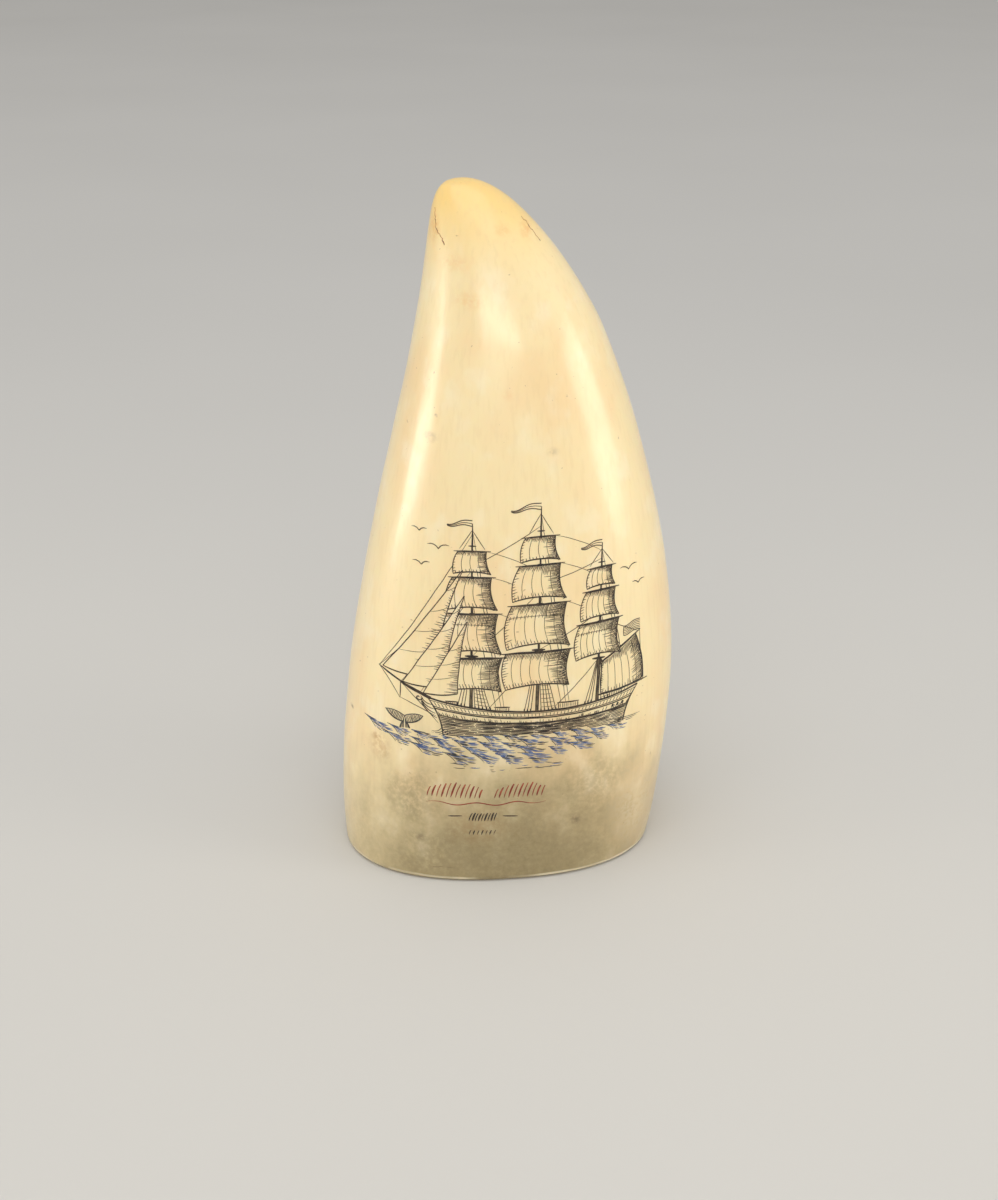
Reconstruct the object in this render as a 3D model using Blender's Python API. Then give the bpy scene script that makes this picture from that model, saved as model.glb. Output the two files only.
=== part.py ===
"""Scrimshaw whale tooth: one solid, sawn flat at the root so that it stands, curving up to a blunt tip.

Metres, +Z up. The sawn base lies on Z = 0, with the origin under the middle of the tooth's overall width and depth.
The broad engraved face looks along -Y, and the tip leans towards -X. The engraving is ink, so it isn't modelled here.
"""

from math import copysign, cos, radians, sin, tau
from typing import NamedTuple

import bmesh
import bpy
from mathutils import Vector
from mathutils.geometry import interpolate_bezier

# Overall sizes
TOOTH_HEIGHT = 0.150
TOOTH_WIDTH = 0.0752
TOOTH_DEPTH = 0.051

# The narrow chamfer polished round the sawn base
RIM_CHAMFER = 0.0007

# What is left of the pulp cavity: a small oval pit in the sawn base
PULP_LENGTH = 0.013
PULP_BREADTH = 0.0065
PULP_DEPTH = 0.007
PULP_TAPER = 1.6

# How square the cross-sections are: 2 is an ellipse. Both faces ease to an ellipse at the tip.
FACE_FULLNESS = 2.3
BACK_FULLNESS = 2.1
TIP_FULLNESS = 2.0

# How finely the form is divided
WALL_RINGS = 48
PULP_RINGS = 4
POINTS_PER_RING = 60
TIP_CROWDING = 1.35
CURVE_STEPS = 48
SHARP_ANGLE = 35.0

DENTINE_COLOUR = (0.80, 0.68, 0.44, 1.0)
DENTINE_ROUGHNESS = 0.28


class Knot(NamedTuple):
    """A point on an edge curve. Across is a share of the width or depth, and up of the height.

    Heading is the way the curve runs there, in degrees from across to up, and the pulls are its two handles.
    """

    across: float
    up: float
    heading: float
    pull_before: float
    pull_after: float


TIP_ACROSS = -0.1145

# The two outlines of the broad face, and half of the side view, each from the sawn base up to the tip.
HOLLOW_EDGE = (
    Knot(-0.4965, 0.0, 98.5, 0.0, 0.262),
    Knot(-0.287, 0.722, 64.5, 0.084, 0.260),
    Knot(TIP_ACROSS, 1.0, 0.0, 0.123, 0.0),
)
ROUND_EDGE = (
    Knot(0.442, 0.0, 65.0, 0.0, 0.103),
    Knot(0.5, 0.275, 90.0, 0.031, 0.256),
    Knot(0.2495, 0.819, 137.4, 0.040, 0.147),
    Knot(TIP_ACROSS, 1.0, 180.0, 0.108, 0.0),
)
DEPTH_EDGE = (
    Knot(0.493, 0.0, 86.0, 0.0, 0.100),
    Knot(0.500, 0.26, 90.0, 0.100, 0.300),
    Knot(0.0, 1.0, 180.0, 0.255, 0.0),
)


def clear_scene():
    for leftover in list(bpy.data.objects):
        bpy.data.objects.remove(leftover)


def edge_curve(knots, span):
    """Points along an edge, in metres: x is across, out of the given overall span, and z is up."""

    def place(across, up):
        return Vector((across * span, 0.0, up * TOOTH_HEIGHT))

    def handle(knot, pull):
        angle = radians(knot.heading)
        return place(knot.across + pull * cos(angle), knot.up + pull * sin(angle))

    points = [place(knots[0].across, knots[0].up)]
    for start, end in zip(knots, knots[1:]):
        stretch = interpolate_bezier(
            place(start.across, start.up),
            handle(start, start.pull_after),
            handle(end, -end.pull_before),
            place(end.across, end.up),
            CURVE_STEPS,
        )
        points.extend(stretch[1:])
    return points


def spaced_along(points, shares):
    """Points at these shares of a curve's length."""
    lengths = [0.0]
    for start, end in zip(points, points[1:]):
        lengths.append(lengths[-1] + (end - start).length)
    found = []
    stretch = 0
    for share in shares:
        goal = share * lengths[-1]
        while stretch < len(points) - 2 and lengths[stretch + 1] < goal:
            stretch += 1
        part = (goal - lengths[stretch]) / (lengths[stretch + 1] - lengths[stretch])
        found.append(points[stretch].lerp(points[stretch + 1], part))
    return found


def across_at(points, height):
    """How far across a curve is at a height."""
    for start, end in zip(points, points[1:]):
        if start.z <= height <= end.z:
            return start.x + (end.x - start.x) * (height - start.z) / (end.z - start.z)
    return points[-1].x


def rounded(value, fullness):
    """A cosine or sine drawn out so that the outline it traces is a superellipse."""
    return copysign(abs(value) ** (2.0 / fullness), value)


def wall_ring(hollow, full, half_depth, share):
    """A cross-section through one point of each edge, this share of the way up."""
    middle = (hollow + full) / 2
    reach = (full - hollow) / 2
    ring = []
    for step in range(POINTS_PER_RING):
        angle = tau * step / POINTS_PER_RING
        low_fullness = FACE_FULLNESS if sin(angle) < 0 else BACK_FULLNESS
        fullness = low_fullness + (TIP_FULLNESS - low_fullness) * share
        deep = half_depth * rounded(sin(angle), fullness)
        ring.append(middle + reach * rounded(cos(angle), fullness) + Vector((0.0, deep, 0.0)))
    return ring


def wall_rings():
    """The cross-sections from the sawn base to just under the tip, crowded together towards the tip."""
    shares = [1 - (1 - step / WALL_RINGS) ** TIP_CROWDING for step in range(WALL_RINGS)]
    hollow_points = spaced_along(edge_curve(HOLLOW_EDGE, TOOTH_WIDTH), shares)
    round_points = spaced_along(edge_curve(ROUND_EDGE, TOOTH_WIDTH), shares)
    depth_curve = edge_curve(DEPTH_EDGE, TOOTH_DEPTH)
    rings = []
    for hollow, full, share in zip(hollow_points, round_points, shares):
        half_depth = across_at(depth_curve, (hollow.z + full.z) / 2)
        rings.append(wall_ring(hollow, full, half_depth, share))
    return rings


def pulp_rings(centre):
    """The rings of the pulp pit from near its floor down to its mouth in the sawn base."""
    rings = []
    for step in range(PULP_RINGS - 1, -1, -1):
        depth = step / PULP_RINGS
        width = 1 - depth**PULP_TAPER
        ring = []
        for point in range(POINTS_PER_RING):
            angle = tau * point / POINTS_PER_RING
            along = width * PULP_LENGTH / 2 * cos(angle)
            over = width * PULP_BREADTH / 2 * sin(angle)
            ring.append(centre + Vector((along, over, depth * PULP_DEPTH)))
        rings.append(ring)
    return rings


def skin(body, rings, first_pole, last_pole):
    """Faces from one pole over a stack of rings to the other. Returns the rings' vertices."""
    loops = [[body.verts.new(point) for point in ring] for ring in rings]
    for lower, upper in zip(loops, loops[1:]):
        for near in range(POINTS_PER_RING):
            far = (near + 1) % POINTS_PER_RING
            body.faces.new((lower[near], lower[far], upper[far], upper[near]))
    start = body.verts.new(first_pole)
    end = body.verts.new(last_pole)
    for near in range(POINTS_PER_RING):
        far = (near + 1) % POINTS_PER_RING
        body.faces.new((start, loops[0][far], loops[0][near]))
        body.faces.new((end, loops[-1][near], loops[-1][far]))
    return loops


def chamfer_rim(body, base_loop):
    """Takes the sharp corner off the sawn edge."""
    rim = [body.edges.get((base_loop[near - 1], base_loop[near])) for near in range(POINTS_PER_RING)]
    bmesh.ops.bevel(body, geom=rim, offset=RIM_CHAMFER, segments=1, affect="EDGES", clamp_overlap=True)


def centre_over_origin(body):
    """Slides the tooth so that the middle of its overall width and depth is over the origin."""
    for axis in (0, 1):
        reach = [vertex.co[axis] for vertex in body.verts]
        middle = (min(reach) + max(reach)) / 2
        for vertex in body.verts:
            vertex.co[axis] -= middle


def dentine():
    material = bpy.data.materials.new("dentine")
    material.use_nodes = True
    shader = material.node_tree.nodes["Principled BSDF"]
    shader.inputs["Base Color"].default_value = DENTINE_COLOUR
    shader.inputs["Roughness"].default_value = DENTINE_ROUGHNESS
    shader.inputs["Metallic"].default_value = 0.0
    return material


def build_tooth():
    wall = wall_rings()
    base_centre = sum(wall[0], Vector()) / POINTS_PER_RING
    pulp = pulp_rings(base_centre)
    pulp_floor = base_centre + Vector((0.0, 0.0, PULP_DEPTH))
    tip = Vector((TIP_ACROSS * TOOTH_WIDTH, 0.0, TOOTH_HEIGHT))

    body = bmesh.new()
    loops = skin(body, pulp + wall, pulp_floor, tip)
    chamfer_rim(body, loops[len(pulp)])
    centre_over_origin(body)
    bmesh.ops.recalc_face_normals(body, faces=body.faces)

    mesh = bpy.data.meshes.new("tooth")
    body.to_mesh(mesh)
    body.free()
    mesh.shade_smooth()
    mesh.set_sharp_from_angle(angle=radians(SHARP_ANGLE))
    mesh.materials.append(dentine())
    tooth = bpy.data.objects.new("tooth", mesh)
    bpy.context.collection.objects.link(tooth)
    return tooth


clear_scene()
build_tooth()
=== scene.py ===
# %% [markdown]
# # A scrimshaw whale tooth
#
# Scrimshaw is drawing on a whale's tooth: the tooth is polished, a picture is scratched into it with a
# needle, and ink is rubbed into the scratches. The real object is one piece of dentine, so the model has
# one solid tooth, and every line on it is a thin sliver of ink that lies in its surface.
#
# The CAD model comes first and fixes the size. The scene is in metres, in the same frame: the sawn base
# lies on Z = 0, the engraved face looks along -Y, and the tip leans towards -X.

from math import cos, pi, radians, sin, tau
from random import Random

import bpy
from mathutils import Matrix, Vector
from mathutils.noise import noise


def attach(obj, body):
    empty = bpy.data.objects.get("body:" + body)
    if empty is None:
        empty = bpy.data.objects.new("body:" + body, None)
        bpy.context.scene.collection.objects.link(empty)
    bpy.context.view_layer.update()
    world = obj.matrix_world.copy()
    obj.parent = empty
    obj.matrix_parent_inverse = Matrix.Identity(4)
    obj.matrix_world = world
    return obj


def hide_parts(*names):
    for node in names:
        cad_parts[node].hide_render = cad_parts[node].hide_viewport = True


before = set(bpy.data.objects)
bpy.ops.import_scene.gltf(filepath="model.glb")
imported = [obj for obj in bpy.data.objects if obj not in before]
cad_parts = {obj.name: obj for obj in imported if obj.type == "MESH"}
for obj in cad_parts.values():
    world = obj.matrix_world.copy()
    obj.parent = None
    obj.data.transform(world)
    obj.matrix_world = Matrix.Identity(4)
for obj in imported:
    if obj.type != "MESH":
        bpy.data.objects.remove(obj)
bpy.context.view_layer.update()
MM = 0.001

# %% [markdown]
# ## The tooth
#
# The real tooth is a curved cone of solid dentine. It could be sculpted afresh, but its size might then
# drift from the CAD solid, so a copy of that solid is rounded instead. Its triangles are joined into
# four-sided faces, which a Subdivision Surface rounds evenly. The narrow chamfer round the sawn base has to
# stay crisp, so each edge that bends sharply is given a crease first.
#
# A tooth isn't a turned shape. It has slow swellings that the polisher follows and doesn't remove, and they
# are what makes a highlight on it waver. A Displace modifier with a soft cloud texture adds them, weighted
# by a vertex group so that the sawn base stays flat.

# %% Helpers for working on one object at a time
def take(piece):
    """Makes this the only selected object, and the active one."""
    bpy.ops.object.select_all(action="DESELECT")
    piece.select_set(True)
    bpy.context.view_layer.objects.active = piece


def finish_with(piece, kind, **settings):
    """Adds a modifier with these settings and applies it."""
    take(piece)
    modifier = piece.modifiers.new(kind.lower(), kind)
    for name, setting in settings.items():
        setattr(modifier, name, setting)
    bpy.ops.object.modifier_apply(modifier=modifier.name)


def triangles(piece):
    piece.data.calc_loop_triangles()
    return len(piece.data.loop_triangles)


# %% Copy the CAD tooth, weld it and join its triangles
WELD = 0.002 * MM
JOIN_ANGLE = radians(40)
CREASE_ANGLE = radians(30)

cad_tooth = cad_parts["tooth"]
tooth = cad_tooth.copy()
tooth.data = cad_tooth.data.copy()
tooth.name = "tooth_dentine"
bpy.context.collection.objects.link(tooth)

take(tooth)
bpy.ops.object.mode_set(mode="EDIT")
bpy.ops.mesh.select_mode(type="EDGE")
bpy.ops.mesh.select_all(action="SELECT")
bpy.ops.mesh.remove_doubles(threshold=WELD)
bpy.ops.mesh.tris_convert_to_quads(face_threshold=JOIN_ANGLE, shape_threshold=JOIN_ANGLE)
bpy.ops.mesh.select_all(action="DESELECT")
bpy.ops.mesh.edges_select_sharp(sharpness=CREASE_ANGLE)
bpy.ops.transform.edge_crease(value=1)
bpy.ops.object.mode_set(mode="OBJECT")
print("welded tooth:", len(tooth.data.vertices), "points,", len(tooth.data.polygons), "faces")

# %% Round it, and give it a tooth's slow swellings
SWELLING = 0.45 * MM
SWELLING_SIZE = 26 * MM
FLAT_BELOW = 2 * MM
SWELLS_ABOVE = 16 * MM

finish_with(tooth, "SUBSURF", levels=2, render_levels=2)

wall = tooth.vertex_groups.new(name="wall")
for vertex in tooth.data.vertices:
    rise = (vertex.co.z - FLAT_BELOW) / (SWELLS_ABOVE - FLAT_BELOW)
    wall.add([vertex.index], min(max(rise, 0), 1), "REPLACE")

swelling = bpy.data.textures.new("swelling", "CLOUDS")
swelling.noise_scale = SWELLING_SIZE
swelling.noise_depth = 1
finish_with(tooth, "DISPLACE", texture=swelling, strength=SWELLING, mid_level=0.5, vertex_group="wall")

take(tooth)
bpy.ops.object.shade_smooth_by_angle(angle=CREASE_ANGLE)
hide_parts("tooth")
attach(tooth, "root")
print("tooth_dentine:", triangles(tooth), "triangles")

# %% [markdown]
# ## Writing materials as sums
#
# The patterns of a node material are sums of noise and masks. They could be wired by hand, link by link,
# but would then be hard to read. Two small classes let them be written as sums: `Value` wraps one socket,
# so that `1 - mask` adds a Math node, and `Finish.node` adds any other node with its settings and inputs.

# %% Two classes for materials
class Value:
    """One output socket. Arithmetic on it adds Math nodes to its material."""

    def __init__(self, finish, socket):
        self.finish = finish
        self.socket = socket

    def math(self, operation, *terms):
        return self.finish.node("ShaderNodeMath", {"operation": operation}, dict(enumerate(terms)))

    def __add__(self, other):
        return self.math("ADD", self, other)

    def __sub__(self, other):
        return self.math("SUBTRACT", self, other)

    def __rsub__(self, other):
        return self.math("SUBTRACT", other, self)

    def __mul__(self, other):
        return self.math("MULTIPLY", self, other)

    __radd__ = __add__
    __rmul__ = __mul__


class Finish:
    """A new material round one Principled shader. The constants go on the shader's own sockets."""

    def __init__(self, name, **constants):
        self.material = bpy.data.materials.new(name)
        self.material.use_nodes = True
        self.tree = self.material.node_tree
        self.shader = self.tree.nodes["Principled BSDF"]
        for socket, constant in constants.items():
            self.feed(socket.replace("_", " "), constant)

    def node(self, kind, settings=None, inputs=None, output=0):
        node = self.tree.nodes.new(kind)
        for name, setting in (settings or {}).items():
            setattr(node, name, setting)
        for name, value in (inputs or {}).items():
            self.connect(node.inputs[name], value)
        return Value(self, node.outputs[output])

    def connect(self, socket, value):
        if isinstance(value, Value):
            self.tree.links.new(value.socket, socket)
        else:
            socket.default_value = value

    def feed(self, name, value):
        """Sets or links one socket of the Principled shader."""
        self.connect(self.shader.inputs[name], value)


# %% Helpers for patterns
MIX_FACTOR, MIX_FROM, MIX_TO, MIX_RESULT = 0, 6, 7, 2


def place(finish, stretch=(1, 1, 1)):
    """Object coordinates in metres, stretched by a Mapping node."""
    coordinates = finish.node("ShaderNodeTexCoord", output="Object")
    return finish.node("ShaderNodeMapping", inputs={"Vector": coordinates, "Scale": stretch})


def away_from(finish, centre, spread):
    """How far a point is from a centre, counted in spreads. Both are in mm, with a spread for each axis."""
    stretched = place(finish, tuple(1 / (part * MM) for part in spread))
    middle = tuple(part / reach for part, reach in zip(centre, spread))
    return finish.node("ShaderNodeVectorMath", {"operation": "DISTANCE"}, {0: stretched, 1: middle}, "Value")


def mix(finish, base, top, factor):
    """One colour laid over another."""
    inputs = {MIX_FACTOR: factor, MIX_FROM: base, MIX_TO: top}
    return finish.node("ShaderNodeMix", {"data_type": "RGBA"}, inputs, MIX_RESULT)


def ease(finish, value, start, end):
    """From 0 at start to 1 at end, smoothly."""
    inputs = {"Value": value, "From Min": start, "From Max": end}
    return finish.node("ShaderNodeMapRange", {"interpolation_type": "SMOOTHSTEP"}, inputs)


def cloud(finish, vector, size, detail=2.0, roughness=0.5):
    """Soft noise from about 0.3 to 0.7, whose blotches are this size in metres."""
    inputs = {"Vector": vector, "Scale": 1 / size, "Detail": detail, "Roughness": roughness}
    return finish.node("ShaderNodeTexNoise", inputs=inputs)


def colour(red, green, blue):
    """A colour given as it looks on a screen, from 0 to 255, made linear for the shader."""
    return (*(((part / 255 + 0.055) / 1.055) ** 2.4 for part in (red, green, blue)), 1.0)


# %% [markdown]
# ## Polished dentine
#
# Old dentine is cream, yellower where it thins to the tip, with peach clouding and faint grain that runs
# up the tooth. Low down on the face a brown bloom is painted, mostly shade with some handling dirt, and
# there are small stains and pricks. All this could be painted on an unwrapped picture, but noise on Object
# coordinates has no seams and stays sharp from any distance.
#
# Light sinks a little way into dentine, so the shader has subsurface scattering. The polish is a thin coat
# over a softer gloss, which gives a highlight a bright core and a wide glow.

# %% Dentine colours and marks
CREAM = colour(248, 228, 181)
TIP_YELLOW = colour(250, 214, 135)
PEACH = colour(243, 208, 156)
CHALK = colour(252, 240, 210)
SHADE_AND_DIRT_BROWN = colour(144, 129, 91)
GRAIN_BROWN = colour(222, 196, 144)
STAIN_BROWN = colour(176, 122, 56)
SMUDGE_GREY = colour(118, 103, 76)
PRICK_BROWN = colour(120, 84, 58)
AMBER = colour(236, 184, 116)
RIM_DIRT_AND_SHADE = colour(92, 72, 44)

# Each mark is where it sits on the tooth, how far it spreads, both in mm, then its colour and strength.
MARKS = (
    ((-29.3, -16.6, 31.3), (3.4, 6.0, 5.0), STAIN_BROWN, 0.34),
    ((-29.9, -15.8, 33.2), (1.6, 4.0, 1.3), STAIN_BROWN, 0.50),
    ((-8.2, -25.1, 14.5), (10.0, 9.0, 7.0), STAIN_BROWN, 0.20),
    # The marks in the bloom's brown are painted shade low on the face, with some dirt in them.
    ((-22.5, -22.0, 20.5), (8.5, 9.0, 9.0), SHADE_AND_DIRT_BROWN, 0.50),
    ((-17.0, -23.5, 7.0), (13.0, 12.0, 9.0), SHADE_AND_DIRT_BROWN, 0.36),
    ((-21.1, -22.3, 10.9), (2.8, 4.0, 1.9), SMUDGE_GREY, 0.62),
    ((12.9, -24.1, 14.4), (1.5, 4.0, 1.8), SMUDGE_GREY, 0.75),
    ((17.5, -23.6, 23.0), (10.0, 9.0, 10.0), SHADE_AND_DIRT_BROWN, 0.36),
    ((27.5, -18.0, 13.0), (9.0, 10.0, 14.0), CHALK, 0.26),
    ((-17.0, -13.7, 100.6), (1.9, 3.0, 1.7), PRICK_BROWN, 0.30),
    ((-15.7, -13.5, 105.0), (0.5, 2.0, 0.5), PRICK_BROWN, 0.70),
    ((7.5, -19.7, 98.4), (2.0, 3.0, 1.5), SMUDGE_GREY, 0.28),
    ((-1.3, -18.5, 110.0), (1.8, 3.0, 1.6), PEACH, 0.70),
    ((-35.0, -7.0, 36.2), (0.8, 2.0, 0.8), PRICK_BROWN, 0.90),
    ((-11.5, -9.0, 135.0), (5.0, 6.0, 2.6), PEACH, 0.75),
    ((3.6, -5.4, 140.6), (2.0, 4.0, 3.4), AMBER, 0.75),
    ((-1.5, -9.0, 141.0), (2.5, 4.0, 1.6), AMBER, 0.40),
    ((-9.0, -14.0, 128.0), (5.0, 6.0, 2.4), AMBER, 0.45),
    ((-15.0, -4.0, 141.0), (1.6, 4.0, 4.0), AMBER, 0.55),
)

# %% The wall's colour
dentine = Finish(
    "polished_dentine",
    IOR=1.54,
    Subsurface_Weight=0.25,
    Subsurface_Radius=(1.0, 0.62, 0.32),
    Subsurface_Scale=2.5 * MM,
    Coat_Roughness=0.15,
    Coat_IOR=1.5,
)
spot = place(dentine)
height = dentine.node("ShaderNodeSeparateXYZ", inputs={"Vector": spot}, output="Z")

clouding = cloud(dentine, place(dentine, (1, 1, 0.6)), 20 * MM, detail=3)
fine_clouding = cloud(dentine, place(dentine, (1, 1, 0.7)), 6 * MM, detail=3)
grain = cloud(dentine, place(dentine, (1, 1, 0.04)), 0.9 * MM, detail=2)
pricks = cloud(dentine, spot, 0.9 * MM, detail=1)
dirt_and_shade_noise = cloud(dentine, spot, 1.1 * MM, detail=3, roughness=0.65)
fray = fine_clouding - 0.5

skin = mix(dentine, CREAM, PEACH, ease(dentine, clouding, 0.46, 0.68) * 0.50)
skin = mix(dentine, skin, CHALK, ease(dentine, fine_clouding, 0.50, 0.72) * 0.40)
skin = mix(dentine, skin, TIP_YELLOW, ease(dentine, height + clouding * (16 * MM), 138 * MM, 158 * MM) * 0.95)
skin = mix(dentine, skin, GRAIN_BROWN, ease(dentine, grain, 0.48, 0.70) * 0.14)
skin = mix(dentine, skin, PRICK_BROWN, ease(dentine, pricks + clouding * 0.3, 0.935, 0.96) * 0.34)

# %% Painted shade low down, with some dirt in it, and the small marks
SHADE_TOP = 34 * MM
SHADE_MIDDLE = (0.0, -25.0, -1.0)
SHADE_REACH = (52.0, 60.0, 52.0)

# Painted shade: the tooth is made darker all round towards its foot, and most of all low on the face, with
# some handling dirt in it.
shade_all_round = 1 - ease(dentine, height + fray * (14 * MM), 0, SHADE_TOP)
skin = mix(dentine, skin, SHADE_AND_DIRT_BROWN, shade_all_round * (0.32 + (dirt_and_shade_noise - 0.5) * 0.3))
shade_on_face = away_from(dentine, SHADE_MIDDLE, SHADE_REACH) + fray * 0.5
skin = mix(dentine, skin, SHADE_AND_DIRT_BROWN, (1 - ease(dentine, shade_on_face, 0.13, 1.0)) * (0.92 + (dirt_and_shade_noise - 0.5) * 0.4))

mottle = ease(dentine, dirt_and_shade_noise, 0.30, 0.62)
for centre, spread, tint, strength in MARKS:
    frayed = away_from(dentine, centre, spread) + fray * 1.1
    skin = mix(dentine, skin, tint, (1 - ease(dentine, frayed, 0.0, 1.0)) * mottle * strength)

# %% The foot, whose chamfer is darkened by its dirt and by painted shade, and whose edge is rubbed pale in places
edge = height + fray * (0.5 * MM)
rubbed = ease(dentine, edge, 0.55 * MM, 0.75 * MM) * (1 - ease(dentine, edge, 1.0 * MM, 1.35 * MM))
skin = mix(dentine, skin, CHALK, rubbed * ease(dentine, clouding, 0.35, 0.55) * 0.75)
# The chamfer faces down, and its dark brown is partly dirt and partly painted shade.
dirt_and_shade_on_chamfer = 0.18 + ease(dentine, clouding + fray * 0.5, 0.38, 0.62) * 0.52
skin = mix(dentine, skin, RIM_DIRT_AND_SHADE, (1 - ease(dentine, height, 0.45 * MM, 0.70 * MM)) * dirt_and_shade_on_chamfer)

# %% [markdown]
# ## The sawn base
#
# Under the tooth the saw has cut across the growth rings, which are ovals round the pulp pit, with a paler
# rim of cement outside. They could be cut as real grooves, but they are only colour, so the material adds
# two sines of the distance from the middle, a fine one and a slow one. One mask picks out the flat base by
# its height, and another the pit by both its height and its distance from the middle.

# %% Growth rings, rim and pit
BASE_MIDDLE = (-2.0, 0.0, 0.0)
BASE_REACH = (34.6, 24.4, 1000.0)
RINGS = 19
SLOW_RINGS = 6.4
RING_PALE = colour(236, 218, 174)
RING_DARK = colour(205, 178, 124)
RIM_PALE = colour(246, 234, 204)
PIT_BROWN = colour(142, 108, 66)

out = away_from(dentine, BASE_MIDDLE, BASE_REACH)
wavering = out + clouding * 0.12
ring = dentine.node("ShaderNodeMath", {"operation": "SINE"}, {0: wavering * (RINGS * tau)})
slow_ring = dentine.node("ShaderNodeMath", {"operation": "SINE"}, {0: wavering * (SLOW_RINGS * tau)})
rings = ease(dentine, ring * 0.7 + slow_ring * 0.6 + fray * 4.0, -1.7, 2.0)
sawn = mix(dentine, RING_PALE, RING_DARK, rings * 0.55)
sawn = mix(dentine, sawn, RIM_PALE, ease(dentine, out, 0.90, 0.93))
sawn = mix(dentine, sawn, PIT_BROWN, 1 - ease(dentine, out + fine_clouding * 0.1, 0.10, 0.32))

flat_base = 1 - ease(dentine, height, 0.04 * MM, 0.12 * MM)
pit = (1 - ease(dentine, out, 0.40, 0.45)) * (1 - ease(dentine, height, 9 * MM, 10 * MM))
underside = dentine.node("ShaderNodeMath", {"operation": "MAXIMUM"}, {0: flat_base, 1: pit})
saw_marks = cloud(dentine, place(dentine, (0.05, 1, 1)), 0.5 * MM, detail=2)

# %% Gloss and grain, and the material goes on the tooth
relief = grain * (1 - underside) + saw_marks * underside * 2.0
bumps = dentine.node("ShaderNodeBump", inputs={"Strength": 0.06, "Distance": 0.05 * MM, "Height": relief})
dentine.feed("Base Color", mix(dentine, skin, sawn, underside))
dentine.feed("Roughness", 0.37 + fray * 0.16 + (grain - 0.5) * 0.08 + underside * 0.25)
dentine.feed("Coat Weight", (0.42 + (clouding - 0.5) * 0.3) * (1 - underside))
dentine.feed("Normal", bumps)

tooth.data.materials.clear()
tooth.data.materials.append(dentine.material)
print("dentine nodes:", len(dentine.tree.nodes))

# %% [markdown]
# ## Drawing with a needle
#
# The lines could be cut into the mesh or drawn by a shader. A groove a tenth of a millimetre wide would
# take millions of faces, though, and a shader can't follow a ship's outline, so each line is a ribbon of
# ink on the surface.
#
# The picture is planned on a flat sheet, in millimetres: x across the tooth and y up it, as the eye sees
# it from the front. Nearly all strokes come from one curve, the shallow bow, and from patches with four
# bowed sides, which serve as sails, hull and waves. Near things hide far ones, so the nearest are drawn
# first. The outline of each becomes a cover, and what is drawn after it loses the stretches that fall
# inside.

# %% Bows and patches
STEP = 0.6


def bow_at(start, end, bulge, share):
    """A point on an arc whose middle stands off its chord by bulge, to the left of the way along it."""
    run = end - start
    return start + run * share + Vector((-run.y, run.x)).normalized() * (4 * bulge * share * (1 - share))


def bow(start, end, bulge=0.0):
    start, end = Vector(start), Vector(end)
    steps = max(2, round((end - start).length / STEP))
    return [bow_at(start, end, bulge, step / steps) for step in range(steps + 1)]


class Patch:
    """A patch with four bowed sides.

    A point in it is a share across, from the left, and a share up, from the foot.
    """

    def __init__(self, foot_left, foot_right, head_left, head_right, left=0.0, right=0.0, foot=0.0, head=0.0):
        self.corners = foot_left, foot_right, head_left, head_right
        self.bulges = left, right, foot, head
        self.wide = (self.at(1, 0.5) - self.at(0, 0.5)).length
        self.tall = (self.at(0.5, 1) - self.at(0.5, 0)).length

    def at(self, across, up):
        foot_left, foot_right, head_left, head_right = self.corners
        left, right, foot, head = self.bulges
        foot_side = bow_at(foot_left, foot_right, foot, across)
        head_side = bow_at(head_left, head_right, head, across)
        left_side = bow_at(foot_left, head_left, left, up)
        right_side = bow_at(foot_right, head_right, right, up)
        flat = foot_left.lerp(foot_right, across).lerp(head_left.lerp(head_right, across), up)
        return foot_side.lerp(head_side, up) + left_side.lerp(right_side, across) - flat

    def line(self, start, end):
        """Points from one pair of shares to another."""
        (across, up), (to_across, to_up) = start, end
        steps = max(2, round((self.at(*end) - self.at(*start)).length / STEP))
        shares = [step / steps for step in range(steps + 1)]
        return [self.at(across + (to_across - across) * s, up + (to_up - up) * s) for s in shares]

    def outline(self):
        corners = (0, 0), (1, 0), (1, 1), (0, 1), (0, 0)
        return [point for start, end in zip(corners, corners[1:]) for point in self.line(start, end)[:-1]]


# %% What hides what
HALVINGS = 5

covers = []


def cover(outline):
    """Whatever is drawn from here on is hidden behind this closed outline."""
    across = [point.x for point in outline]
    up = [point.y for point in outline]
    covers.append((min(across), max(across), min(up), max(up), outline))


def hidden(point):
    for left, right, low, high, outline in covers:
        if left < point.x < right and low < point.y < high:
            crossings = 0
            for start, end in zip(outline, outline[1:] + outline[:1]):
                if (start.y > point.y) != (end.y > point.y):
                    share = (point.y - start.y) / (end.y - start.y)
                    crossings += start.x + share * (end.x - start.x) > point.x
            if crossings % 2:
                return True
    return False


def last_seen(seen, unseen):
    """The point where a line passes behind a cover, found by halving the step between two points."""
    for _ in range(HALVINGS):
        middle = seen.lerp(unseen, 0.5)
        if hidden(middle):
            unseen = middle
        else:
            seen = middle
    return seen


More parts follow.
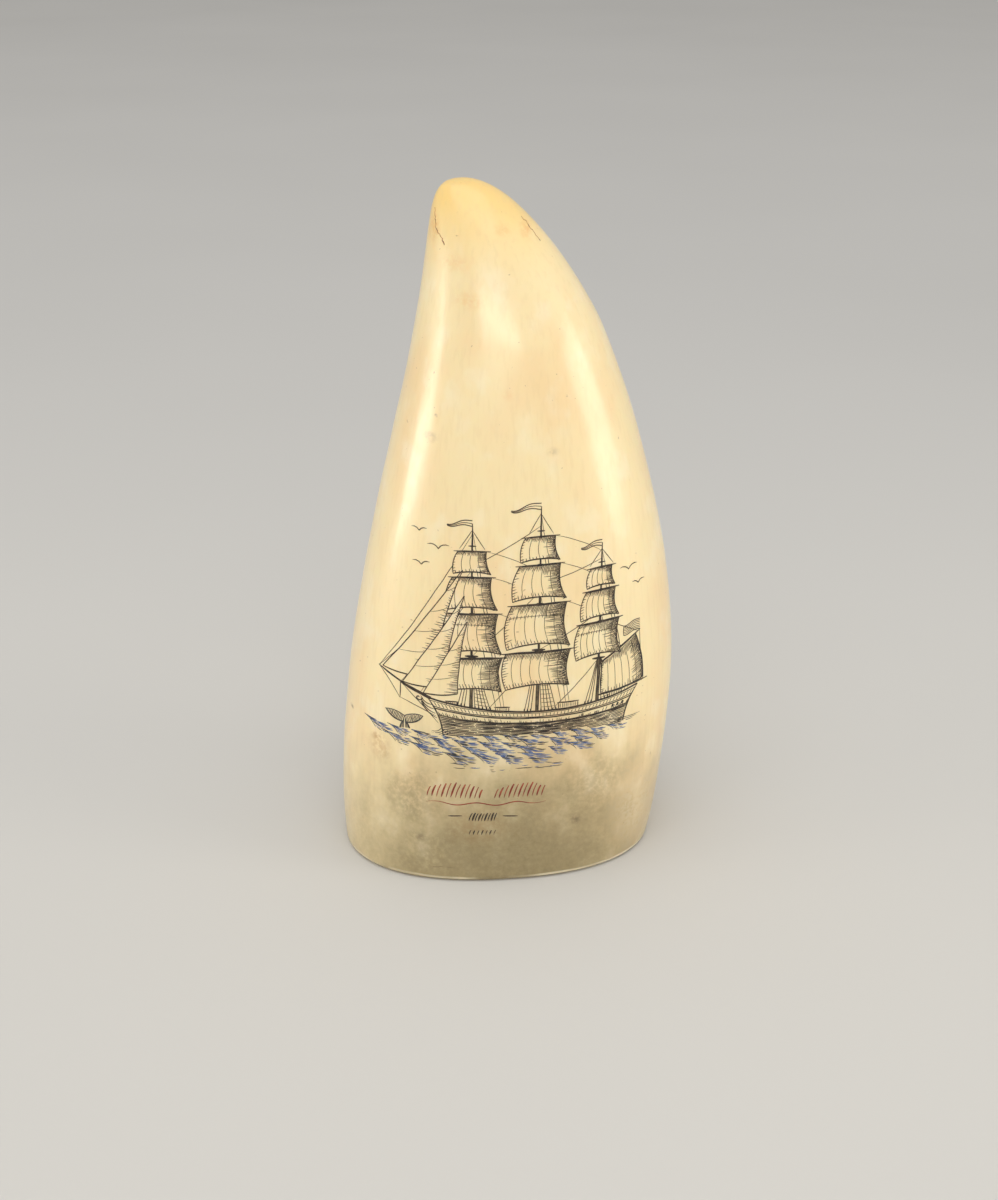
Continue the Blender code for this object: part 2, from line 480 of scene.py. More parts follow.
# %% The needle
class Needle:
    """Draws strokes for one ink. Its hand shakes a little, in the same way each time."""

    SHAKE = 0.08
    SHAKE_LENGTH = 3.0
    TAPER = 0.25
    SHORTEST = 0.18

    # Each stroke's shake, and each direction's, is read from its own place in the noise.
    STROKES_APART = 7.3
    DIRECTIONS_APART = 50

    def __init__(self, seed):
        self.chance = Random(seed)
        self.strokes = []

    def between(self, low, high):
        return self.chance.uniform(low, high)

    def shaken(self, point):
        where = point / self.SHAKE_LENGTH
        stroke = self.STROKES_APART * len(self.strokes)
        shake = Vector((noise((*where, stroke)), noise((*where, stroke + self.DIRECTIONS_APART))))
        return point + shake * self.SHAKE

    def draw(self, points, width, ends=(0.45, 0.45)):
        """Adds the visible stretches of a stroke, which thins towards its ends."""
        first, last = ends
        run = []
        before = None
        for index, point in enumerate(points):
            share = index / (len(points) - 1)
            bites = first + (1 - first) * share / self.TAPER
            lifts = last + (1 - last) * (1 - share) / self.TAPER
            press = min(1, bites, lifts)
            seen = not hidden(point)
            if before and seen and not run:
                run.append((last_seen(point, before), width * press))
            if seen:
                run.append((point, width * press))
            elif run:
                run.append((last_seen(before, point), width * press))
                self.keep(run)
                run = []
            before = point
        self.keep(run)

    def keep(self, run):
        """Keeps a stretch, unless so little of it shows that it would be a speck."""
        if len(run) > 1 and (run[-1][0] - run[0][0]).length > self.SHORTEST:
            self.strokes.append([(*self.shaken(point), width) for point, width in run])


outline_ink = Needle(seed=1)
shadow_ink = Needle(seed=2)
blue_ink = Needle(seed=3)
slate_ink = Needle(seed=4)
red_ink = Needle(seed=5)
faded_ink = Needle(seed=6)
HAIR, FINE, THIN, FIRM, BOLD = 0.11, 0.15, 0.20, 0.30, 0.44

# %% [markdown]
# ## The sea
#
# Scrimshaw water is a lens of small waves, mostly in blue. Strokes strewn by chance would look like rain,
# and nested humps look like scales, so each wave is a leaning patch instead. Sagging strokes run into its
# hollow from the crest line, and what they leave bare at the back is the foam of the next. The nearest row
# is drawn first, and each wave hides what is behind it, the foot of the hull too.

# %% One wave
MIDSHIP = 1.5
WATERLINE = 37.0
WAVE_GAP = 0.27
BLUE_SHARE = 0.68


def ship(across, up):
    """A point measured from amidships on the waterline. The bow is to the left."""
    return Vector((MIDSHIP + across, WATERLINE + up))


def wave(left, foot, length, rise, lean):
    """A wave that leans to the left, hatched in from its crest line, and then a cover."""
    foot_left, head_left = Vector((left, foot)), Vector((left - lean, foot + rise))
    along = Vector((length, 0))
    corners = foot_left, foot_left + along, head_left, head_left + along
    water = Patch(*corners, left=-0.35, right=-0.35, foot=-0.30, head=-0.22)
    slate_ink.draw(water.line((0, 0), (0, 1)), FINE, ends=(0.2, 0.6))
    slate_ink.draw(water.line((0, 1), (blue_ink.between(0.3, 0.6), 1)), FINE, ends=(0.6, 0.2))
    rows = round(rise / WAVE_GAP)
    for row in range(rows):
        up = (row + 0.5) / rows
        end = 0.56 + 0.26 * sin(pi * up) + blue_ink.between(-0.16, 0.12)
        stops = blue_ink.between(0.0, 0.12), end * blue_ink.between(0.4, 0.7), end
        for start, stop in zip(stops, stops[1:]):
            needle = blue_ink if blue_ink.between(0, 1) < BLUE_SHARE else slate_ink
            dash = water.line((start, up), (stop - 0.03, up - 0.06))
            needle.draw(dash, blue_ink.between(0.15, 0.27), ends=(0.3, 0.2))
    cover(water.outline())


# %% The rows of waves, ripples in front, and foam at stem and stern
SEA_MIDDLE = -2.6
RIPPLES = 26
FOAM_LINES = 4

# Each row from the nearest: its foot's height, half its length, and its waves' length, rise and lean.
SEA_ROWS = (
    (30.2, 11.0, 6.0, 2.5, 3.0),
    (31.9, 18.5, 5.6, 2.4, 2.8),
    (33.6, 24.5, 5.2, 2.2, 2.5),
    (35.2, 28.0, 4.8, 1.9, 2.2),
)

for foot, half, length, rise, lean in SEA_ROWS:
    left = SEA_MIDDLE - half + blue_ink.between(0, 2)
    while left < SEA_MIDDLE + half - length / 2:
        wave_length = length * blue_ink.between(0.75, 1.2)
        wave(left, foot + blue_ink.between(-0.3, 0.3), wave_length, rise * blue_ink.between(0.85, 1.1), lean)
        left += wave_length

for ripple in range(RIPPLES):
    start = Vector((blue_ink.between(-16, 8), blue_ink.between(28.2, 30.4)))
    needle = blue_ink if ripple % 3 == 0 else slate_ink
    needle.draw(bow(start, start + Vector((blue_ink.between(0.8, 2.8), 0)), -0.08), FINE, ends=(0.2, 0.2))

for line in range(FOAM_LINES):
    stem = ship(-17.6 + 0.6 * line, 1.5 - 0.35 * line)
    slate_ink.draw(bow(stem, stem + Vector((-2.2 - 0.7 * line, -1.0)), 0.5), FINE, ends=(0.9, 0.2))
    stern = ship(20.5, 0.9 - 0.4 * line)
    slate_ink.draw(bow(stern, stern + Vector((5.6 - 0.9 * line, -0.3)), -0.2), FINE, ends=(0.9, 0.2))
print("sea:", len(blue_ink.strokes), "blue strokes,", len(slate_ink.strokes), "slate strokes")

# %% [markdown]
# ## The ship
#
# A full-rigged ship is the commonest picture on such teeth. It could be traced, but this one is nobody's
# ship: a hull, masts and sails laid out from a rigger's rules of thumb are easy to change. It heads left
# before a wind from astern. Three masts carry square sails whose widths shrink by steps, three jibs run to
# the bowsprit, and a spanker stands behind the mizzen.

# %% The ship's plan
class Mast:
    """A mast: its step aft of amidships, and the heights of its top, crosstrees and truck.

    Its course is the lowest sail, and half_course is half the width of that sail's head.
    """

    RAKE = 0.022

    def __init__(self, step, top, crosstrees, truck, half_course):
        self.step, self.top, self.crosstrees, self.truck = step, top, crosstrees, truck
        self.half_course = half_course

    def at(self, up, aside=0.0):
        return ship(self.step + self.RAKE * up + aside, up)


fore = Mast(-11.6, 18.3, 30.5, 47.0, 6.4)
main = Mast(2.4, 19.6, 32.6, 50.5, 6.9)
mizzen = Mast(15.6, 16.2, 26.9, 41.5, 5.2)

# The square sails of a mast from the lowest: foot and head as shares of the truck's height, then their
# widths as shares of the course's.
SQUARE_SAILS = (
    (0.215, 0.378, 0.98, 1.00),
    (0.395, 0.588, 0.97, 0.84),
    (0.605, 0.757, 0.82, 0.62),
    (0.772, 0.875, 0.60, 0.45),
)
BELLY = 0.10
FOOT_ARCH = 0.11
YARD_SLOPE = 0.035


def square_sail(mast, foot, head, foot_width, head_width):
    low, high = foot * mast.truck, head * mast.truck
    belly, arch = BELLY * (high - low), FOOT_ARCH * (high - low)
    foot_half, head_half = foot_width * mast.half_course, head_width * mast.half_course
    corners = [
        mast.at(level + side * half * YARD_SLOPE, side * half)
        for level, half in ((low, foot_half), (high, head_half))
        for side in (-1, 1)
    ]
    return Patch(*corners, left=belly, right=belly, foot=arch)


# %% The hull, the sails and the ends of the spars that reach ahead
STEM, TAFFRAIL = -20.6, 25.2
HULL_FOOT = -1.4
BOWSPRIT_END = ship(-26.0, 10.6)
JIBBOOM_END = ship(-30.3, 12.9)

# Each jib's tack and clew, its head's height and place on the foremast, and its bulges.
JIBS = (
    (ship(-21.4, 9.0), ship(-14.2, 9.6), 26.0, -1.0, 0.5, -0.3),
    (ship(-25.6, 10.8), ship(-17.2, 11.0), 31.5, -1.6, 0.7, -0.4),
    (ship(-29.6, 13.0), ship(-19.4, 12.9), 37.0, -2.0, 0.8, -0.4),
)
JIB_HEAD = 0.1

keel = ship(-17.4, HULL_FOOT), ship(21.8, HULL_FOOT)
hull = Patch(*keel, ship(STEM, 8.2), ship(TAFFRAIL, 7.8), left=-0.9, right=0.8, head=-2.6)
foresails = [square_sail(fore, *sizes) for sizes in SQUARE_SAILS]
mainsails = [square_sail(main, *sizes) for sizes in SQUARE_SAILS]
mizzensails = [square_sail(mizzen, *sizes) for sizes in SQUARE_SAILS[1:]]
jibs = [
    Patch(tack, clew, fore.at(high, aside), fore.at(high, aside + JIB_HEAD), right=leech, foot=sag)
    for tack, clew, high, aside, leech, sag in JIBS
]
luff = mizzen.at(7.9, 0.7), mizzen.at(14.9, 0.7)
spanker = Patch(luff[0], ship(26.6, 9.0), luff[1], ship(24.5, 19.6), right=-0.5, foot=-0.4)
print("sails:", len(foresails + mainsails + mizzensails + jibs) + 1)

# %% The hull
SIDE_TOP, BAND_TOP, RAIL = 0.56, 0.73, 1.0
PLANK_GAP = 0.27
TIMBERS = 56
TIMBER_FOOT, TIMBER_HEAD = 0.80, 0.91
BAND_SHADOWS = 110

# The lines along the hull: the height of each as a share of the hull's, and its width.
HULL_LINES = (
    (RAIL, BOLD),
    (0.93, FINE),
    (0.78, THIN),
    (BAND_TOP, FIRM),
    (SIDE_TOP, FIRM),
    (0.53, THIN),
)


def deck(across):
    """The rail's height above the waterline at a point along the ship."""
    return hull.at((across - STEM) / (TAFFRAIL - STEM), RAIL).y - WATERLINE


for up, width in HULL_LINES:
    outline_ink.draw(hull.line((0, up), (1, up)), width, ends=(0.9, 0.9))
for end in (0, 1):
    outline_ink.draw(hull.line((end, 0), (end, RAIL)), FIRM)

for timber in range(1, TIMBERS):
    along = timber / TIMBERS
    outline_ink.draw(hull.line((along, TIMBER_FOOT), (along, TIMBER_HEAD)), FINE)

planks = round(hull.tall * SIDE_TOP / PLANK_GAP)
for plank in range(planks):
    up = SIDE_TOP * plank / planks
    start = 0.0
    while start < 1:
        end = min(1.0, start + outline_ink.between(0.06, 0.20))
        outline_ink.draw(hull.line((start, up), (end, up)), outline_ink.between(0.17, 0.30), ends=(0.6, 0.6))
        start = end + 0.005

for shadow in range(BAND_SHADOWS):
    across = shadow_ink.between(0, 1) ** 2
    across = across if shadow % 2 else 1 - across
    reach = shadow_ink.between(0.04, 0.13)
    shadow_ink.draw(hull.line((across, SIDE_TOP), (across, SIDE_TOP + reach)), FINE)

# %% Stern windows, deckhouses, head rails and the scroll at the stem
FIRST_WINDOW, WINDOW_GAP = 0.905, 0.027
SILL, LINTEL = 0.61, 0.69
EAVES = 0.3
BOARD = 0.42
SCROLL_MIDDLE = (-22.3, 7.9)
SCROLL_GROWTH = 0.13

# Each deckhouse's forward end, its length and its height.
HOUSES = ((7.2, 4.2, 1.6), (18.6, 2.8, 1.2), (-6.3, 2.8, 1.0), (-16.6, 2.2, 0.8))

for window in range(3):
    across = FIRST_WINDOW + WINDOW_GAP * window
    outline_ink.draw(hull.line((across, SILL), (across, LINTEL)), BOLD, ends=(0.9, 0.9))

for step, wide, tall in HOUSES:
    low = min(deck(step), deck(step + wide))
    roof = low + tall
    house = Patch(ship(step, low), ship(step + wide, low), ship(step, roof), ship(step + wide, roof))
    outline_ink.draw(bow(ship(step - EAVES, roof), ship(step + wide + EAVES, roof)), FIRM)
    outline_ink.draw(house.line((0, 0), (0, 1)), THIN)
    outline_ink.draw(house.line((1, 0), (1, 1)), THIN)
    boards = round(wide / BOARD)
    for board in range(1, boards):
        shadow_ink.draw(house.line((board / boards, 0.2), (board / boards, 0.9)), FINE)
    cover(house.outline())

for lift in range(4):
    outline_ink.draw(bow(ship(-18.6 - 0.3 * lift, 3.6 + lift), ship(-21.9, 7.1 + 0.4 * lift), 0.5), THIN)
scroll = []
for knot in range(10):
    turn = 0.7 * knot
    reach = SCROLL_GROWTH * turn
    scroll.append(ship(SCROLL_MIDDLE[0] + reach * cos(turn), SCROLL_MIDDLE[1] + reach * sin(turn)))
outline_ink.draw(scroll, FIRM)
cover(hull.outline())

# %% [markdown]
# ## Sails
#
# An engraver can't shade with grey, only with more lines. The hatching could be ruled straight across, but
# a sail would then look flat, so each stroke is drawn between two pairs of shares of the sail's own patch
# and follows its cloth. The after edge of each sail is in shadow, where strokes cross, and so is the cloth
# just under the yard.

# %% How a sail is shaded
ROW_GAP = 0.27
COLUMN_GAP = 0.32
TIES = 16


def shade_sail(sail, seams, heavy=1.0):
    """Cloth seams, then hatching in from the after edge, under the head and up from the foot."""
    for seam in range(1, seams):
        shadow_ink.draw(sail.line((seam / seams, 0.02), (seam / seams, 0.97)), HAIR, ends=(0.8, 0.5))

    rows = round(sail.tall / ROW_GAP)
    for row in range(rows):
        up = (row + 0.5) / rows
        reach = shadow_ink.between(0.13, 0.36) * heavy
        shadow_ink.draw(sail.line((1, up), (1 - reach, up - 0.03)), FINE, ends=(1, 0.3))
        reach = shadow_ink.between(0.04, 0.13) * heavy
        outline_ink.draw(sail.line((1, up), (1 - reach, up - 0.08)), FINE, ends=(1, 0.3))
        if row % 2:
            reach = shadow_ink.between(0.03, 0.12) * heavy
            shadow_ink.draw(sail.line((0, up), (reach, up + 0.02)), FINE, ends=(1, 0.3))

    columns = round(sail.wide / COLUMN_GAP)
    for column in range(columns):
        across = (column + 0.5) / columns
        reach = shadow_ink.between(0.06, 0.18) + 0.26 * across**2 * heavy
        shadow_ink.draw(sail.line((across, 0.98), (across, 0.98 - reach)), FINE, ends=(1, 0.3))
        if column % 2:
            reach = shadow_ink.between(0.05, 0.14)
            shadow_ink.draw(sail.line((across, 0.02), (across, 0.02 + reach)), FINE, ends=(1, 0.3))


def edge_sail(sail):
    outline_ink.draw(sail.line((0, 0), (0, 1)), THIN, ends=(0.8, 0.8))
    outline_ink.draw(sail.line((1, 0), (1, 1)), THIN, ends=(0.8, 0.8))
    outline_ink.draw(sail.line((0, 0), (1, 0)), FIRM, ends=(0.7, 0.7))


def reef_points(sail):
    """A reef band near the head, with its short ties."""
    shadow_ink.draw(sail.line((0, 0.71), (1, 0.71)), HAIR)
    for tie in range(1, TIES):
        outline_ink.draw(sail.line((tie / TIES, 0.66), (tie / TIES, 0.75)), FINE)


# %% The jibs
JIB_CLOTHS = 5
JIB_ROWS = 44

for jib in jibs:
    edge_sail(jib)
    for seam in range(1, JIB_CLOTHS):
        up = seam / JIB_CLOTHS
        shadow_ink.draw(jib.line((0, up), (1, up + 0.05)), HAIR)
    for row in range(JIB_ROWS):
        up = row / JIB_ROWS
        reach = shadow_ink.between(0.15, 0.50)
        shadow_ink.draw(jib.line((1, up), (1 - reach, up + 0.02)), FINE, ends=(1, 0.3))
    cover(jib.outline())

# %% The square sails and their yards
YARDARM = 0.9
YARD, YARD_SLING = 0.52, 0.78

for mast, sails in ((fore, foresails), (main, mainsails), (mizzen, mizzensails)):
    for number, sail in enumerate(sails):
        edge_sail(sail)
        shade_sail(sail, seams=7 - number)
        left_end, right_end = sail.at(0, 1), sail.at(1, 1)
        arm = (right_end - left_end).normalized() * YARDARM
        slimmer = 0.06 * number
        outline_ink.draw(bow(left_end - arm, right_end + arm), YARD - slimmer, ends=(0.35, 0.35))
        sling = bow(left_end.lerp(right_end, 0.42), left_end.lerp(right_end, 0.58))
        outline_ink.draw(sling, YARD_SLING - slimmer)
    reef_points(sails[-3])
    for sail in sails:
        cover(sail.outline())

# %% The spanker with its gaff and boom
edge_sail(spanker)
shade_sail(spanker, seams=6, heavy=0.8)
outline_ink.draw(bow(mizzen.at(14.8, 0.1), ship(25.6, 20.4)), BOLD, ends=(0.8, 0.4))
outline_ink.draw(bow(mizzen.at(7.5, 0.1), ship(27.6, 8.6)), BOLD, ends=(0.8, 0.4))
cover(spanker.outline())

# %% [markdown]
# ## Spars, rigging and flags
#
# A ship's masts are held by shrouds and stays, and the ratlines across the shrouds are the ladders aloft.
# Each line could be cut short by hand where a sail hides it. All of it lies behind the sails, though, so it
# is drawn after them and the covers cut it. Then come the flags, the gulls and a whale's flukes ahead.

# %% Bowsprit, jibboom and their stays
outline_ink.draw(bow(ship(-18.6, 7.5), BOWSPRIT_END), 0.70, ends=(1, 0.7))
outline_ink.draw(bow(ship(-23.8, 9.7), JIBBOOM_END), 0.40, ends=(1, 0.5))
striker = ship(-26.2, 7.0)
outline_ink.draw(bow(BOWSPRIT_END, striker), THIN)
for start, end in ((JIBBOOM_END, striker), (striker, ship(-18.8, 4.0)), (BOWSPRIT_END, ship(-18.3, 2.4))):
    outline_ink.draw(bow(start, end, 0.2), FINE)

# %% Masts, tops, shrouds and ratlines
SHROUD_FEET = (-2.6, -1.9, -1.2, 1.0, 1.8, 2.6, 3.4, 4.2)
RATLINES = 13
POLE_BARS, POLE_STAYS = 0.90, 0.97

for mast in (fore, main, mizzen):
    rail = deck(mast.step)
    shadow_ink.draw(bow(mast.at(rail), mast.at(mast.top)), BOLD, ends=(1, 1))
    for aside in (-0.28, 0.28):
        outline_ink.draw(bow(mast.at(rail, aside), mast.at(mast.top, aside * 0.8)), THIN, ends=(1, 1))
    outline_ink.draw(bow(mast.at(mast.top), mast.at(mast.crosstrees)), 0.50, ends=(1, 1))
    outline_ink.draw(bow(mast.at(mast.crosstrees), mast.at(mast.truck)), 0.36, ends=(1, 0.5))
    bars_at, stays_at = mast.truck * POLE_BARS, mast.truck * POLE_STAYS
    for level, half, width in ((mast.top, 1.4, 0.5), (mast.crosstrees, 1.1, BOLD), (bars_at, 0.8, FIRM)):
        outline_ink.draw(bow(mast.at(level, -half), mast.at(level, half)), width)

    for foot in SHROUD_FEET:
        chainplate = ship(mast.step + foot, deck(mast.step + foot))
        outline_ink.draw(bow(chainplate, mast.at(mast.top, foot * 0.12)), FINE, ends=(1, 0.8))
        outline_ink.draw(bow(chainplate, chainplate + Vector((0, 0.7))), FIRM)
    for rung in range(1, RATLINES + 1):
        share = rung / (RATLINES + 1)
        near = ship(mast.step + 1.0, rail).lerp(mast.at(mast.top, 0.12), share)
        far = ship(mast.step + 4.2, deck(mast.step + 4.2)).lerp(mast.at(mast.top, 0.5), share)
        outline_ink.draw(bow(near, far, -0.08), HAIR)
    for level, foot in ((mast.crosstrees, 5.6), (bars_at, 6.6), (stays_at, 7.3)):
        outline_ink.draw(bow(mast.at(level), ship(mast.step + foot, deck(mast.step + foot))), FINE)
    for side in (-1, 1):
        outline_ink.draw(bow(mast.at(stays_at), mast.at(mast.truck * 0.885, side * 2.6)), FINE)

# %% Stays and braces
for start, end in (
    (fore.at(fore.truck * 0.95), JIBBOOM_END),
    (fore.at(37.2), JIBBOOM_END),
    (fore.at(31.7), BOWSPRIT_END),
    (fore.at(26.2), ship(-22.0, 9.1)),
    (main.at(main.truck * 0.92), fore.at(38.0)),
    (main.at(main.crosstrees), fore.at(fore.top)),
    (main.at(main.top), ship(-8.0, deck(-8.0))),
    (mizzen.at(mizzen.truck * 0.92), main.at(34.0)),
    (mizzen.at(mizzen.crosstrees), main.at(main.top)),
    (mizzen.at(mizzen.top), ship(5.6, deck(5.6))),
    (ship(25.4, 20.2), ship(25.8, 8.9)),
    (mizzen.at(25.0), ship(25.2, 20.0)),
    (mizzen.at(25.0), ship(21.0, 17.8)),
):
    outline_ink.draw(bow(start, end, 0.15), FINE)

for sails, behind in ((foresails, main), (mainsails, mizzen)):
    for sail in sails[1:]:
        yardarm = sail.at(1, 1)
        outline_ink.draw(bow(yardarm, behind.at(yardarm.y - WATERLINE - 4.5), 0.5), HAIR)

# %% Pennants, ensign and gulls
FLAG_STEPS = 12

# Each gull's place from amidships and the waterline, and the reach of its wing.
GULLS = ((-17.5, 41.0, 2.2), (-21.0, 37.2, 1.7), (-21.2, 44.2, 1.5), (22.6, 34.4, 2.0), (25.0, 30.8, 1.5))


def fly(hoist, length, height, taper, stripes):
    """A flag that streams to the left from its hoist, rippling more towards the fly."""
    shares = [step / FLAG_STEPS for step in range(FLAG_STEPS + 1)]
    spine = []
    for share in shares:
        ripple = 0.07 * sin(0.9 * tau * share) * (0.4 + share) - 0.08 * share
        spine.append(hoist + Vector((-share, ripple)) * length)
    for row in range(stripes + 1):
        aside = height * (row / stripes - 0.5)
        stripe = [point + Vector((0, aside * (1 - taper * share))) for point, share in zip(spine, shares)]
        if row in (0, stripes):
            outline_ink.draw(stripe, THIN, ends=(1, 0.8))
        else:
            shadow_ink.draw(stripe, FINE, ends=(1, 0.8))
    edge = Vector((0, height / 2 * (1 - taper)))
    outline_ink.draw(bow(spine[-1] - edge, spine[-1] + edge), FINE)


for mast, length in ((fore, 5.0), (main, 6.2), (mizzen, 4.6)):
    fly(mast.at(mast.truck), length, height=1.3, taper=0.8, stripes=2)
fly(ship(25.5, 21.6), 3.9, height=2.3, taper=0.1, stripes=6)

for across, up, span in GULLS:
    body = ship(across, up)
    outline_ink.draw(bow(body, body + Vector((-span, 0.35 * span)), -0.22 * span), THIN, ends=(1, 0.3))
    outline_ink.draw(bow(body, body + Vector((span, 0.42 * span)), 0.22 * span), THIN, ends=(1, 0.3))

# %% The flukes of a whale that has just gone down ahead
FLUKES = ship(-25.4, -0.6)
NOTCH = FLUKES + Vector((0, 3.5))

for side in (-1, 1):
    foot, waist = FLUKES + Vector((1.1 * side, 0)), FLUKES + Vector((0.4 * side, 2.1))
    tip = FLUKES + Vector((3.9 * side, 4.2))
    lobe = Patch(waist, tip, NOTCH, tip, foot=-0.55 * side, head=0.45 * side)
    stalk = Patch(foot, FLUKES, waist, NOTCH, left=-0.15 * side)
    for part, hatches in ((lobe, 14), (stalk, 4)):
        for hatch in range(hatches):
            slate_ink.draw(part.line((hatch / hatches, 0), (hatch / hatches, 1)), FINE, ends=(0.9, 0.7))
    slate_ink.draw(lobe.line((0, 0), (1, 0)), FIRM, ends=(1, 0.5))
    slate_ink.draw(lobe.line((0, 1), (1, 1)), THIN, ends=(1, 0.5))
    slate_ink.draw(stalk.line((0, 0), (0, 1)), FIRM, ends=(0.8, 1))
print("ship:", len(outline_ink.strokes), "outline strokes,", len(shadow_ink.strokes), "shadow strokes")

# %% [markdown]
# ## Rows of strokes under the picture
#
# Below the sea stand plain rows of strokes, an ornament that fills the panel: two groups in red ink with a
# wavy line under them, then a small row in dark ink between two dashes, and a lower row of shorter strokes.
# They could be scattered by chance, but a border looks orderly only where all its strokes are parallel and
# of one shape, so each row is made by one loop.

# %% Red and dark rows
SLANT = 0.34
WAVY_STEPS = 40
WAVY_TURNS = 3
WAVY_RISE = 0.35
RED_GROUP = {"foot": 21.6, "height": 2.3, "pitch": 1.02, "width": 0.38, "swell": 0.55}


def stroke_row(needle, left, right, foot, height, pitch, width, swell=0.0):
    """Parallel slanting strokes. With a swell they are tallest in the middle of the row."""
    count = round((right - left) / pitch)
    for number in range(count + 1):
        tall = height * (1 + swell * sin(pi * number / count)) * needle.between(0.93, 1.07)
        start = Vector((left + number * pitch, foot))
        end = start + Vector((SLANT * tall, tall))
        needle.draw(bow(start, end, 0.05 * height), width * (1 if number % 2 else 0.6), ends=(0.35, 0.7))


def wavy_line(needle, left, right, level, width):
    points = []
    for step in range(WAVY_STEPS + 1):
        share = step / WAVY_STEPS
        rise = WAVY_RISE * sin(WAVY_TURNS * tau * share)
        points.append(Vector((left + (right - left) * share, level + rise)))
    needle.draw(points, width, ends=(0.2, 0.2))


stroke_row(red_ink, -19.6, -8.4, **RED_GROUP)
stroke_row(red_ink, -5.0, 5.2, **RED_GROUP)
wavy_line(red_ink, -19.8, 6.2, level=20.1, width=0.26)
stroke_row(faded_ink, -10.6, -5.2, foot=15.8, height=2.0, pitch=0.68, width=0.38)
stroke_row(faded_ink, -10.6, -5.2, foot=12.3, height=1.1, pitch=0.90, width=0.30)
faded_ink.draw(bow((-15.1, 16.9), (-12.1, 17.1)), FIRM, ends=(0.3, 0.3))
faded_ink.draw(bow((-3.2, 17.0), (0.1, 16.8)), FIRM, ends=(0.3, 0.3))
print("rows:", len(red_ink.strokes), "red strokes,", len(faded_ink.strokes), "dark strokes")

# %% [markdown]
# ## Cracks
#
# Two hairline cracks run down from the tip, one on each side, and a scratch crosses the foot. They could be
# cut into the mesh, but they are too fine to show any depth, so they are drawn as the picture is. Each
# crack has a sheet of its own that faces it, because the front sheet would meet it at a slant.

# %% Cracks and a scratch
JAGS = 5
JAG_ACROSS, JAG_UP = 0.26, 0.08
LEFT_CRACK = ((-5.4, 144.6), (-4.6, 143.1), (-4.3, 141.6), (-3.6, 140.6), (-1.9, 139.3), (-0.9, 137.9))
RIGHT_CRACK = ((0.8, 142.8), (1.6, 141.5), (2.5, 139.9), (3.4, 138.2))
FOOT_SCRATCH = ((-19.0, 3.3), (-16.6, 3.8), (-13.6, 3.6))


def crack(points, width, seed):
    """A jagged line through these points, thick and thin by chance."""
    needle = Needle(seed)
    jagged = []
    for start, end in zip(points, points[1:]):
        for step in range(JAGS):
            jag = Vector((needle.between(-JAG_ACROSS, JAG_ACROSS), needle.between(-JAG_UP, JAG_UP)))
            jagged.append(Vector(start).lerp(Vector(end), step / JAGS) + jag)
    jagged.append(Vector(points[-1]))
    needle.strokes.append([(*point, width * needle.between(0.4, 1.0)) for point in jagged])
    return needle


left_crack = crack(LEFT_CRACK, width=0.24, seed=7)
right_crack = crack(RIGHT_CRACK, width=0.20, seed=8)
foot_scratch = crack(FOOT_SCRATCH, width=0.16, seed=9)

# %% [markdown]
# ## Laying the ink on the tooth
#
# Each stroke could be built face by face, but a flat curve is a pen line already: extruded sideways it is
# a ribbon, and each point's radius is the pressure on the needle. The curve is stood up in front of the
# tooth and made a mesh, and a Shrinkwrap modifier throws it straight back onto the curved face. Solidify
# then gives each ribbon a hair of depth, most of it inside the tooth, so the ink is flush to the eye and
# every stroke is a closed solid.

# %% Laying ink
INK_DEPTH = 0.05 * MM
INK_SUNK = -0.2
SHEET_DISTANCE = 60 * MM


def lay_ink(name, needle, material, facing=0.0):
    """Makes one mesh of a needle's strokes. Facing is where the sheet stands, in degrees from the front."""
    curve = bpy.data.curves.new(name, "CURVE")
    curve.dimensions = "3D"
    curve.twist_mode = "Z_UP"
    curve.extrude = MM / 2
    for stroke in needle.strokes:
        spline = curve.splines.new("POLY")
        spline.points.add(len(stroke) - 1)
        for knot, (across, up, width) in zip(spline.points, stroke):
            knot.co = (across * MM, up * MM, 0, 1)
            knot.radius = width
            knot.tilt = pi / 2
    piece = bpy.data.objects.new(name, curve)
    bpy.context.collection.objects.link(piece)
    turn = radians(facing)
    piece.rotation_euler = (pi / 2, 0, turn)
    piece.location = (sin(turn) * SHEET_DISTANCE, -cos(turn) * SHEET_DISTANCE, 0)
    take(piece)
    bpy.ops.object.convert(target="MESH")
    piece = bpy.context.object
    finish_with(
        piece,
        "SHRINKWRAP",
        target=tooth,
        wrap_method="PROJECT",
        use_project_z=True,
        use_positive_direction=False,
        use_negative_direction=True,
    )
    bpy.ops.object.transform_apply(location=True, rotation=True, scale=True)
    finish_with(piece, "SOLIDIFY", thickness=INK_DEPTH, offset=INK_SUNK)
    piece.data.materials.append(material)
    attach(piece, "root")
    print(f"{name}: {len(needle.strokes)} strokes, {triangles(piece)} triangles")


# %% Inks, and a piece for each
def ink(name, dark, light):
    """Ink rubbed into a scratch: uneven, and a little worn."""
    finish = Finish(name, IOR=1.5)
    worn = cloud(finish, place(finish), 1.6 * MM, detail=3)
    finish.feed("Base Color", mix(finish, dark, light, ease(finish, worn, 0.40, 0.68)))
    finish.feed("Roughness", 0.42 + (worn - 0.5) * 0.2)
    return finish.material


